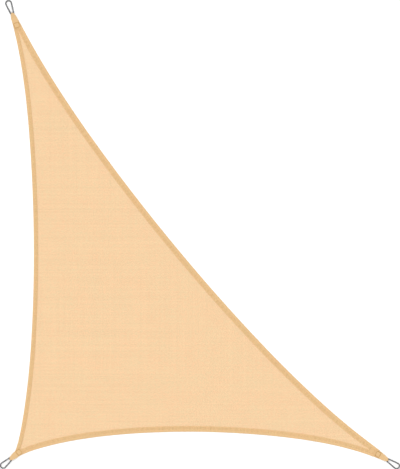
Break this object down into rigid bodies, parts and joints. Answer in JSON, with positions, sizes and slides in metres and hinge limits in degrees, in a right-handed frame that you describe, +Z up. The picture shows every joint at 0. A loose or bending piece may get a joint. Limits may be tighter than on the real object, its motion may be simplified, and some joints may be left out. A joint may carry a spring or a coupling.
{
  "type": "shade sail",
  "caption": "Right-angled triangular shade sail of knitted cloth, laid out flat, with turned hems, webbing corner tabs and pear-shaped steel rings.",
  "frame": {"origin": "on the floor, under the middle of the laid-out sail's bounding box", "axes": "+Z up out of the side with the hems, +Y along the long leg to the sharp top corner, +X along the short leg, so the right-angled corner is at -X -Y"},
  "size_m": [2.5618, 3.0033, 0.0116],
  "materials": {
    "knitted_cloth": "matt knitted tape yarn, sand coloured",
    "webbing": "matt woven webbing, sand coloured",
    "steel": "polished round wire"
  },
  "bodies": {
    "root": {"sail_cloth": "knitted_cloth", "corner_tab_top": "webbing", "corner_tab_left": "webbing", "corner_tab_right": "webbing", "corner_ring_top": "steel", "corner_ring_left": "steel", "corner_ring_right": "steel"}
  },
  "joints": []
}
